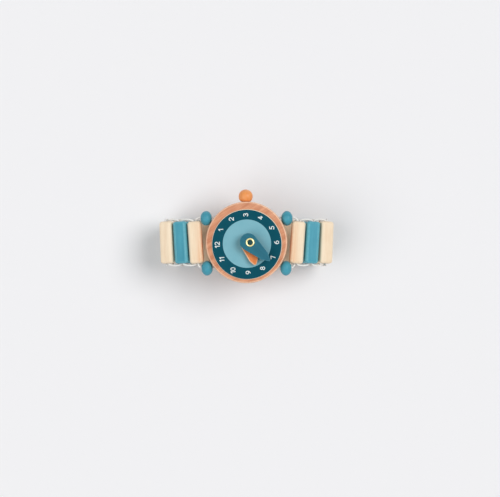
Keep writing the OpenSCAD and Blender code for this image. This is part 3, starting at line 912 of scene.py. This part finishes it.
def numeral(hour, middle, top):
    """One number of the dial, upright when the crown is at three o'clock and the strap runs up and down."""
    s = sizes()
    height = s.number_h * PER_MM
    across = s.number_w * PER_MM / DIGIT_SHARE
    stroke = s.number_stroke * PER_MM
    digits = str(hour)
    widths = [DIGIT_SHARE / 2 if digit == "1" else DIGIT_SHARE for digit in digits]
    gap = stroke / across + DIGIT_GAP
    whole = sum(widths) + gap * (len(digits) - 1)
    start = -whole / 2
    lines = []
    for digit, width in zip(digits, widths):
        lines += [[((x + start) * across, (y - 0.5) * height) for x, y in line] for line in strokes_of(digit)]
        start += width + gap
    flat, triangles = inked(lines, stroke)
    turn = math.radians(180 - 30 * hour) + s.print_turn
    box = ((height + stroke) * math.cos(turn), (whole * across + stroke) * math.sin(turn))
    ring = s.number_ring + math.hypot(*box) / 2 * MM
    centre = Vector((middle.x + ring * math.cos(turn), middle.y + ring * math.sin(turn)))
    right = Vector((-math.sin(s.print_turn), math.cos(s.print_turn)))
    up = right.orthogonal()
    points = []
    for z in (top - s.ink_h, top + s.ink_h):
        points += [(*(centre + (right * p.x + up * p.y) * MM), z) for p in flat]
    count = len(flat)
    faces = [tuple(reversed(t)) for t in triangles] + [tuple(i + count for i in t) for t in triangles]
    # The edges that belong to one triangle only are the outline, and get a wall
    sides = {(a, b): (b, a) for t in triangles for a, b in zip(t, list(t[1:]) + [t[0]])}
    faces += [(a, b, b + count, a + count) for (a, b), back in sides.items() if back not in sides]
    number = mesh_object(f"number_{hour}", points, faces)
    dress(number, "ink", "case_group")


# Hands and eyelet

def hull(points):
    """The outline round flat points, anticlockwise."""
    points = sorted(set((round(x, 8), round(y, 8)) for x, y in points))

    def half(ordered):
        kept = []
        for p in (Vector(p) for p in ordered):
            while len(kept) > 1 and (kept[-1] - kept[-2]).cross(p - kept[-1]) <= 1e-12:
                kept.pop()
            kept.append(p)
        return [tuple(p) for p in kept[:-1]]

    return half(points) + half(points[::-1])


# A stretch of an outline is round where it turns less than this, in degrees, and its spans are this alike
ROUND_TURN = 30
ALIKE_SPANS = 1.6


def smoothed(outline):
    """The outline with points added on its round stretches, by the four-point rule."""
    count = len(outline)
    corner = [Vector(p) for p in outline]
    turns = []
    for i in range(count):
        a, b = corner[i] - corner[i - 1], corner[(i + 1) % count] - corner[i]
        turns.append(math.degrees(math.atan2(a.cross(b), a.dot(b))))
    finer = []
    for i in range(count):
        n = (i + 1) % count
        finer.append(corner[i])
        spans = [(corner[j % count] - corner[(j - 1) % count]).length for j in (i, i + 1, i + 2)]
        if max(turns[i], turns[n]) < ROUND_TURN and max(spans) < ALIKE_SPANS * min(spans):
            finer.append((corner[i] + corner[n]) * 9 / 16 - (corner[i - 1] + corner[(i + 2) % count]) / 16)
    return finer


def hand_outline(name):
    return hull(mesh_points(name)[:, :2])


def hand_turn(name):
    """Direction in which a hand points: from the pivot to the point of it that lies farthest away."""
    pivot = Vector(JOINTS[name + "_turn"]["pos_m"][:2])
    tip = max((Vector(p) - pivot for p in hand_outline(name)), key=lambda v: v.length)
    return math.atan2(tip.y, tip.x)


def make_hand(name, finish, bare_share, bare_width):
    """One hand, cut from thin wood. The stain is sanded off its upper edges by a share, and more widely on
    the side that leads as the hand turns clockwise."""
    s = sizes()
    pivot = Vector(JOINTS[name + "_turn"]["pos_m"][:2])
    low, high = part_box(name)
    outline = smoothed(smoothed(hand_outline(name)))
    hole_r = min((Vector(p[:2]) - pivot).length for p in mesh_points(name))
    # Where the bare band is wide, rows of points at its inner edge keep that edge crisp
    bands = (bare_width * 0.9, bare_width * 1.05) if bare_width > s.hand_edge * 1.3 else ()
    piece = plate(name + "_wood", outline, low.z, high.z, s.hand_edge, pivot, hole_r, HAND_HOLE_EDGE,
                  bands=bands)
    half = (high.z - low.z) / 2
    middle_z = (high.z + low.z) / 2
    turn = hand_turn(name)
    leading = Vector((math.sin(turn), -math.cos(turn)))

    def wear(p):
        """Bare on the upper half, and inwards from the outline as far as the band is wide there."""
        near_edge = share_between(p.z - middle_z, half * 0.3, half * 0.7)
        inset = min((p.xy - q).length for q in outline)
        leads = share_between((p.xy - pivot).dot(leading), -0.5 * MM, 0.5 * MM)
        width = s.bare_slim + (bare_width - s.bare_slim) * leads
        return bare_share * near_edge * (1 - share_between(inset, width * 0.92, width * 1.04))

    paint_attribute(piece, "wear", wear)
    dress(piece, finish, name, [name])


def flat_ring(node, bore, soft, finish):
    """A flat ring with softened edges in the place of a washer's node."""
    middle, size = node_box(node)
    outer, half = size.x / 2, size.z / 2
    corners = [(outer - soft, half - soft), (bore + soft, half - soft), (bore + soft, soft - half),
               (outer - soft, soft - half)]
    profile = []
    for i, place in enumerate(corners):
        profile += arc(place, soft, 90 * i, 90 * i + 90, 4)
    ring = turned(node + "_ring", profile, middle, around=SMALL_ROUND, closed=True)
    dress(ring, finish, "case_group", [node])


def make_rivet():
    """The hollow rivet through the hands, its head rolled over the upper one, its foot behind the case."""
    s = sizes()
    low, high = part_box("eyelet")
    middle, size = node_box("eyelet")
    bore, tube = s.eyelet_bore / 2, s.eyelet_tube / 2
    foot_z = low.z + s.eyelet_foot
    head_z = high.z - s.eyelet_head
    points = mesh_points("eyelet")
    # The head is widest at its base
    upper = points[points[:, 2] > head_z - 0.01 * MM]
    head_r = np.hypot(upper[:, 0] - middle.x, upper[:, 1] - middle.y).max()
    foot_w, head_w = (size.x / 2 - bore) / 2, (head_r - bore) / 2
    foot = arc((bore + foot_w, foot_z), (foot_w, s.eyelet_foot), 180, 360, 14)
    head = arc((bore + head_w, head_z), (head_w, s.eyelet_head), 0, 180, 14)
    crease = 0.05 * MM
    neck = [(tube + crease, foot_z), (tube, foot_z + crease), (tube, head_z - crease),
            (tube + crease, head_z)]
    place = Vector((middle.x, middle.y, 0))
    rivet = turned("eyelet_brass", foot + neck + head, place, closed=True)
    rounding = s.eyelet_head * 0.5

    def inside(p):
        """Painted shade: dark in the bore, and gone at half the head's height."""
        off = math.hypot(p.x - middle.x, p.y - middle.y)
        in_bore = 1 - share_between(off, bore * 1.01, bore * 1.08)
        return in_bore * (1 - share_between(p.z, head_z - rounding, head_z + rounding))

    paint_attribute(rivet, "inside", inside)
    dress(rivet, "brass", "case_group", ["eyelet"])
    room = tube + WASHER_ROOM
    flat_ring("dial_washer", room, WASHER_EDGE, "fibre")
    flat_ring("hand_washer", room, WASHER_EDGE, "fibre")
    flat_ring("back_washer", room, BACK_WASHER_EDGE, "back_brass")


# Slats and beads

def rounded_section(w, t, r, steps=8):
    """A rectangle with rounded corners, anticlockwise, with support points along its flats."""
    x, z = w / 2 - r, t / 2 - r
    corners = ((x, z), (-x, z), (-x, -z), (x, -z))
    rounds = [arc(corner, r, 90 * i, 90 * i + 90, steps) for i, corner in enumerate(corners)]
    points = []
    for here, following in zip(rounds, rounds[1:] + rounds[:1]):
        last, first = Vector(here[-1]), Vector(following[0])
        points += here + [tuple(last.lerp(first, share)) for share in (0.06, 0.5, 0.94)]
    return points


# Wear of a slat's long edges, also a painted highlight there, and of its ends, and the stretches between the
# rows of points along it
LONG_EDGE_WEAR_AND_HIGHLIGHT = 0.55
END_WEAR = 0.6
BODY_STRETCHES = 11


def slat_blank(size):
    """One slat at the origin: rounded long edges, rounded ends and a bore with soft mouths along Y."""
    s = sizes()
    half = size.y / 2
    end, bore, soft = s.slat_end, s.slat_bore / 2, s.mouth
    section = rounded_section(size.x, size.z, s.slat_edge)
    angles = [math.atan2(z, x) for x, z in section]
    rings = []
    lip_r = bore + 2 * soft

    def on_end(x, z, side):
        """The point of the rounded end over a place on it."""
        low = max(end - min(size.x / 2 - abs(x), size.z / 2 - abs(z)), 0)
        return x, side * (half - end + math.sqrt(end ** 2 - low ** 2)), z

    def outer(inset, y, wear, end_face_and_bore):
        w, t = size.x / 2 - inset, size.z / 2 - inset
        ring = [(x * w / (size.x / 2), y, z * t / (size.z / 2)) for x, z in section]
        lip = [on_end(lip_r * math.cos(a), lip_r * math.sin(a), math.copysign(1, y)) for a in angles]
        ring = [p if math.hypot(p[0], p[2]) > lip_r else q for p, q in zip(ring, lip)]
        rings.append((ring, wear, end_face_and_bore))

    def rim(radius, side, depth):
        ring = []
        for a in angles:
            x, y, z = on_end(radius * math.cos(a), radius * math.sin(a), side)
            ring.append((x, y - side * depth, z))
        rings.append((ring, 0.0, True))

    def rounding(side):
        for step in range(0, 91, 15)[::side]:
            a = math.radians(step)
            y = side * (half - end * (1 - math.sin(a)))
            outer(end * (1 - math.cos(a)), y, END_WEAR * math.sin(2 * a) ** 2, step > 70)

    # Along the outside from one end to the other, back through the bore, and over the first end again
    rounding(-1)
    for i in range(1, BODY_STRETCHES):
        outer(0, (half - end) * (2 * i / BODY_STRETCHES - 1), 0.0, False)
    rounding(1)
    mouth = ((lip_r, 0.0), (bore + soft, 0.0), (bore + 0.3 * soft, 0.3 * soft), (bore, soft))
    outer(end * 1.2, half, 0.0, True)
    for radius, depth in mouth:
        rim(radius, 1, depth)
    for side in (1, -1):
        y = side * (half - 3 * soft)
        rings.append(([(bore * math.cos(a), y, bore * math.sin(a)) for a in angles], 0.0, True))
    for radius, depth in reversed(mouth):
        rim(radius, -1, depth)
    outer(end * 1.2, -half, 0.0, True)

    mesh = bpy.data.meshes.new("slat_blank")
    points = [p for ring, wear, end_face_and_bore in rings for p in ring]
    mesh.from_pydata(points, [], ring_faces(len(rings), len(section)))
    corner = []
    for a, (x, z) in zip(angles, section):
        off_flat = min(abs(abs(x) - size.x / 2), abs(abs(z) - size.z / 2))
        corner.append(math.sin(2 * a) ** 2 if off_flat > 0.02 * MM else 0)
    # The long edges are paler: worn stain and a painted highlight on their rounding
    wear_and_highlight_values = [wear if end_face_and_bore else max(LONG_EDGE_WEAR_AND_HIGHLIGHT * c, wear)
             for ring, wear, end_face_and_bore in rings for c in corner]
    # The end faces and the bore are marked to be darker: end grain on the faces, painted shade in the bore
    end_face_and_bore_marks = [float(end_face_and_bore) for ring, wear, end_face_and_bore in rings for p in ring]
    for name, values in (("wear", wear_and_highlight_values), ("end", end_face_and_bore_marks)):
        mesh.attributes.new(name, "FLOAT", "POINT").data.foreach_set("value", values)
    blank = link(bpy.data.objects.new("slat_blank", finish_mesh(mesh, 60)))
    blank.hide_render = True
    return blank


# Points round a bead and along its side
BEAD_ROUND = 56
BEAD_ROWS = 32
# What differs from one bead to the next: its turn, the seed of its unevenness and its board
BEAD_TURN = 0.9
BEAD_SEED = 40.0
BEAD_BOARD = 0.61
BEAD_BOARD_STEP = 0.27


def bead_blank(size):
    """One bead at the origin: a squat ball with a bore along X and softened mouths."""
    s = sizes()
    radius, half, bore, soft = size.z / 2, size.x / 2, s.bead_bore / 2, s.mouth
    mouth = math.asin((bore + soft) / radius)
    reach = 90 - math.degrees(mouth)
    outside = arc((0, 0), (radius, half / math.cos(mouth)), -reach, reach, BEAD_ROWS)
    edge_h = outside[-1][1]
    inside = [(bore + 0.3 * soft, edge_h - 0.1 * soft), (bore, edge_h - soft), (bore, soft - edge_h),
              (bore + 0.3 * soft, 0.1 * soft - edge_h)]
    blank = turned("bead_blank", outside + inside, Vector(), "X", BEAD_ROUND, closed=True, sharp_turn=70)
    # The bore is marked to be darker: painted shade inside the hole
    paint_attribute(blank, "end", lambda p: float(math.hypot(p.y, p.z) < bore + soft * 0.9))
    blank.hide_render = True
    return blank


def threaded(name, tree, blank, place, turn, seed, board, finish):
    """A copy of a blank in its place, as a plain mesh."""
    settings = {"Blank": blank, "Place": place, "Turn": turn, "Unevenness": sizes().unevenness, "Seed": seed,
                "Board": board, "Material": finish_of(finish)}
    return grown(name + "_wood", tree, settings)


def make_beads():
    tree = threaded_tree()
    names = ["bead_upper_right", "bead_lower_right", "bead_upper_left", "bead_lower_left"]
    blank = bead_blank(node_box(names[0])[1])
    for i, name in enumerate(names):
        turn, board = (BEAD_TURN * i, 0.0, 0.0), BEAD_BOARD + BEAD_BOARD_STEP * i
        bead = threaded(name, tree, blank, node_box(name)[0], turn, BEAD_SEED + i, board, "teal_beads")
        dress(bead, "teal_beads", name, [name])
    bpy.data.objects.remove(blank)


# The painted reflection of the orange case, with painted shade, on the first slats: its share, and where it
# starts and is full, in widths from a slat's middle
CASE_REFLECTION_SHARE = 0.8
CASE_REFLECTION_SPAN = (-0.1, 0.55)


def warm_side(slat, place):
    """Paints a reflection of the orange case, with shade, on the side of a slat that faces the case."""
    inward = -1 if place.centre.x > 0 else 1
    start, full = (place.size.x * share for share in CASE_REFLECTION_SPAN)

    def warmth(p):
        return CASE_REFLECTION_SHARE * share_between(inward * (p - place.centre).x, start, full)

    paint_attribute(slat, "warm", warmth)


# The slats' random draws, and the largest seed of their unevenness
SLAT_DRAWS = 7
LARGEST_SEED = 90


def make_slats():
    tree = threaded_tree()
    draws = np.random.default_rng(SLAT_DRAWS)
    order = strap_order()
    blank = slat_blank(SlatPlace(order[0]).size)
    for name in order:
        place = SlatPlace(name)
        teal = name == "slat_middle" or int(name[-1]) % 2 == 0
        finish = "teal_slats" if teal else "plain_wood"
        seed, board = float(draws.uniform(0, LARGEST_SEED)), float(draws.uniform(0, 1))
        slat = threaded(name, tree, blank, place.centre, place.turn(), seed, board, finish)
        # The first slats get a painted reflection of the orange case, with painted shade, on the side facing
        # it
        if name[-2:] == "_1":
            warm_side(slat, place)
        dress(slat, finish, name, [name])
    bpy.data.objects.remove(blank)


# Elastic

def cord_side():
    """How far the cord's holes in the case lie from its middle."""
    return (node_box("bead_upper_right")[0].y - node_box("bead_lower_right")[0].y) / 2


def polyline(lines):
    mesh = bpy.data.meshes.new("cord_path")
    points, edges = [], []
    for line in lines:
        edges += [(len(points) + i, len(points) + i + 1) for i in range(len(line) - 1)]
        points += [tuple(p) for p in line]
    mesh.from_pydata(points, edges, [])
    return mesh


# Points along an arc between two slats, and along the way from a bead to a slat
BRIDGE_STEPS = 24
LEAD_STEPS = 16
# A stretch that hides in a bore has this many times fewer rings
HIDDEN_COARSER = 10


def cord(name, tree, lines, fine=True):
    """A piece of the cord along these lines. Stretches that hide in a bore have fewer rings and no braid."""
    s = sizes()
    spacing, depth = (s.cord_ring, s.braid_depth) if fine else (s.cord_ring * HIDDEN_COARSER, 0.0)
    settings = {"Radius": s.cord_d / 2, "Ring spacing": spacing, "Strands": float(s.braid_strands),
                "Pitch": s.braid_pitch, "Depth": depth, "Material": finish_of("white_elastic")}
    return dress(grown(name, tree, settings, polyline(lines)), "white_elastic")


def bridge(a, b, end):
    """The arc that the cord makes from one slat to the next, with a short way into each bore."""
    s = sizes()
    start, stop = a.stop(end, -end, 1), b.stop(end, end, -1)
    rise = s.cord_arc - s.cord_d / 2
    line = [a.into(end, -end, 1)]
    for i in range(BRIDGE_STEPS + 1):
        turn = math.pi * i / BRIDGE_STEPS
        lift = Vector((0, end * rise * math.sin(turn), 0))
        line.append(start.lerp(stop, (1 - math.cos(turn)) / 2) + lift)
    return line + [b.into(end, end, -1)]


def lead(slat, end, side):
    """The cord from the mouth of a bead into the end of the slat beside the case."""
    bead = "bead_{}_{}".format("upper" if end > 0 else "lower", "right" if side > 0 else "left")
    middle, size = node_box(bead)
    depth, way = end * side, -side
    mouth = Vector((middle.x + side * size.x / 2, end * cord_side(), middle.z))
    gap = slat.stop(end, depth, way) - mouth
    line = [mouth - Vector((side * CORD_INSIDE, 0, 0))]
    for i in range(LEAD_STEPS + 1):
        turn = QUARTER * i / LEAD_STEPS
        shares = (math.sin(turn), 1 - math.cos(turn), i / LEAD_STEPS)
        line.append(mouth + gap * Vector(shares))
    return line + [slat.into(end, depth, way)]


def make_elastic():
    tree = braid_tree()
    order = [SlatPlace(name) for name in strap_order()]
    runs = []
    for end, height in zip(ENDS, ("upper", "lower")):
        right, size = node_box(f"bead_{height}_right")
        left = node_box(f"bead_{height}_left")[0]
        runs.append([Vector((right.x + size.x / 2, end * cord_side(), right.z)),
                     Vector((left.x - size.x / 2, end * cord_side(), left.z))])
    through = cord("elastic_through_case", tree, runs, fine=False)
    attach(through, "case_group")
    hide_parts("elastic_cord")
    for place in order:
        strands = [[place.stop(depth, depth, -1), place.stop(-depth, depth, 1)] for depth in ENDS]
        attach(cord(f"elastic_in_{place.name}", tree, strands, fine=False), place.name)
    for a, b in zip(order, order[1:]):
        arcs = cord(f"elastic_{a.name}_to_{b.name}", tree, [bridge(a, b, end) for end in ENDS])
        # The loop of joints is open here, so the arcs can't bend between two bodies
        if a.name == "slat_right_9":
            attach(arcs, b.name)
            continue
        # The arcs bend over the middle part of the way between two slats
        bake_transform(arcs)
    for place, side in ((order[0], 1), (order[-1], -1)):
        leads = cord(f"elastic_lead_{place.name}", tree, [lead(place, end, side) for end in ENDS])
        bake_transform(leads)


# Stage

# Width of the photographed frame at the dial, and the point of the part at its middle
FRAME_W = 235.8 * MM
FRAME_MIDDLE = Vector((1.65, -2.88)) * MM
# Height of the camera over the dial and how far it sees, in metres, and its sensor's width in millimetres
CAMERA_RISE = 1.2
CAMERA_REACH = 20
SENSOR = 36.0
# The floor's half width in metres, its squares along a side, and how far it lies under the slats
FLOOR_HALF = 4.0
FLOOR_SQUARES = 8
FLOOR_DROP = 0.02 * MM
# Strength of the light that comes from all round
SKY = 0.28
# Each lamp's name and strength, and in degrees its tilt from overhead, its bearing from the X axis and its
# apparent size
LAMPS = (("key", 1.6, 36, 22, 36), ("fill", 1.15, 38, 200, 60))


def make_camera():
    dial_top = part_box("dial")[1].z
    data = bpy.data.cameras.new("camera")
    data.sensor_width = SENSOR
    data.lens = SENSOR * CAMERA_RISE / FRAME_W
    data.clip_end = CAMERA_REACH
    camera = link(bpy.data.objects.new("camera", data))
    camera.location = (*FRAME_MIDDLE, dial_top + CAMERA_RISE)
    bpy.context.scene.camera = camera


def make_floor():
    side = FLOOR_SQUARES + 1
    places = [FLOOR_HALF * (2 * i / FLOOR_SQUARES - 1) for i in range(side)]
    points = [(x, y, -FLOOR_DROP) for y in places for x in places]
    corners = [j * side + i for j in range(FLOOR_SQUARES) for i in range(FLOOR_SQUARES)]
    floor = mesh_object("floor", points, [(k, k + 1, k + side + 1, k + side) for k in corners])
    f = Finish("floor")
    f.set(Base_Color=rgba(colours().backdrop), Roughness=0.9, Specular_IOR_Level=0.1)
    floor.data.materials.append(f.material)
    # The strap opens downwards, so the floor goes down with the slat that lies on it
    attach(floor, "slat_middle")


def make_light():
    """A soft white sky that the camera, glossy and clear things see as the pale backdrop, and the lamps."""
    world = bpy.data.worlds.new("studio")
    bpy.context.scene.world = world
    world.use_nodes = True
    tree = world.node_tree
    sky = tree.nodes["Background"]
    set_input(tree, sky, "Color", (1, 1, 1, 1))
    set_input(tree, sky, "Strength", SKY)
    seen = add_node(tree, "ShaderNodeBackground", Color=rgba(colours().backdrop), Strength=1.0)
    path = add_node(tree, "ShaderNodeLightPath").outputs
    rays = path["Is Camera Ray"]
    for label in ("Is Glossy Ray", "Is Transmission Ray"):
        rays = add_node(tree, "ShaderNodeMath", {"operation": "MAXIMUM"}, _0=rays, _1=path[label]).outputs[0]
    mix = add_node(tree, "ShaderNodeMixShader", _0=rays, _1=sky.outputs[0], _2=seen.outputs[0])
    set_input(tree, tree.nodes["World Output"], "Surface", mix.outputs[0])
    for name, strength, tilt, bearing, size in LAMPS:
        lamp = bpy.data.lights.new(name, "SUN")
        lamp.energy = strength
        lamp.angle = math.radians(size)
        holder = link(bpy.data.objects.new(name, lamp))
        holder.rotation_euler = Euler((0, math.radians(tilt), math.radians(bearing)))


# Operators, panel and registration

class StageOperator(bpy.types.Operator):
    """Make the camera, the pale floor and the soft light"""
    bl_idname = "toywatch.make_stage"
    bl_label = "Stage"

    def execute(self, context):
        make_camera()
        make_floor()
        make_light()
        context.scene.view_settings.view_transform = "Standard"
        return {"FINISHED"}


class CaseOperator(bpy.types.Operator):
    """Make the turned wooden case with its holes"""
    bl_idname = "toywatch.make_case"
    bl_label = "Case"

    def execute(self, context):
        make_case()
        return {"FINISHED"}


class CrownOperator(bpy.types.Operator):
    """Make the ball crown on its dowel"""
    bl_idname = "toywatch.make_crown"
    bl_label = "Crown"

    def execute(self, context):
        make_crown()
        return {"FINISHED"}


class DialOperator(bpy.types.Operator):
    """Make the printed dial and its twelve numbers"""
    bl_idname = "toywatch.make_dial"
    bl_label = "Dial"

    def execute(self, context):
        make_dial()
        return {"FINISHED"}


class HandsOperator(bpy.types.Operator):
    """Make the hour hand and the minute hand"""
    bl_idname = "toywatch.make_hands"
    bl_label = "Hands"

    def execute(self, context):
        s = sizes()
        make_hand("hour_hand", "hour_wood", 1.0, s.bare_wide)
        make_hand("minute_hand", "minute_wood", 0.35, s.bare_slim)
        return {"FINISHED"}


class RivetOperator(bpy.types.Operator):
    """Make the hollow rivet and its washers"""
    bl_idname = "toywatch.make_rivet"
    bl_label = "Rivet and washers"

    def execute(self, context):
        make_rivet()
        return {"FINISHED"}


class BeadsOperator(bpy.types.Operator):
    """Make the four beads beside the case"""
    bl_idname = "toywatch.make_beads"
    bl_label = "Beads"

    def execute(self, context):
        make_beads()
        return {"FINISHED"}


class SlatsOperator(bpy.types.Operator):
    """Make the slats of the strap"""
    bl_idname = "toywatch.make_slats"
    bl_label = "Slats"

    def execute(self, context):
        make_slats()
        return {"FINISHED"}


class ElasticOperator(bpy.types.Operator):
    """Make the braided elastic that holds the strap together"""
    bl_idname = "toywatch.make_elastic"
    bl_label = "Elastic"

    def execute(self, context):
        make_elastic()
        return {"FINISHED"}


OPERATORS = (StageOperator, CaseOperator, CrownOperator, DialOperator, HandsOperator, RivetOperator,
             BeadsOperator, SlatsOperator, ElasticOperator)


class WatchPanel(bpy.types.Panel):
    """Lists the pieces of the toy watch, its sizes and its colours"""
    bl_idname = "TOYWATCH_PT_pieces"
    bl_label = "Toy watch"
    bl_space_type = "VIEW_3D"
    bl_region_type = "UI"
    bl_category = "Toy watch"

    def draw(self, context):
        for operator in OPERATORS:
            self.layout.operator(operator.bl_idname)
        for group in (context.scene.watch_sizes, context.scene.watch_colours):
            column = self.layout.column()
            for label in group.bl_rna.properties.keys():
                if label not in ("rna_type", "name"):
                    column.prop(group, label)


CLASSES = (WatchSizes, WatchColours, *OPERATORS, WatchPanel)


def register():
    for each in CLASSES:
        bpy.utils.register_class(each)
    bpy.types.Scene.watch_sizes = PointerProperty(type=WatchSizes)
    bpy.types.Scene.watch_colours = PointerProperty(type=WatchColours)


def unregister():
    del bpy.types.Scene.watch_colours
    del bpy.types.Scene.watch_sizes
    for each in reversed(CLASSES):
        bpy.utils.unregister_class(each)


def main():
    register()
    for operator in OPERATORS:
        group, name = operator.bl_idname.split(".")
        getattr(getattr(bpy.ops, group), name)()


if __name__ == "__main__":
    main()
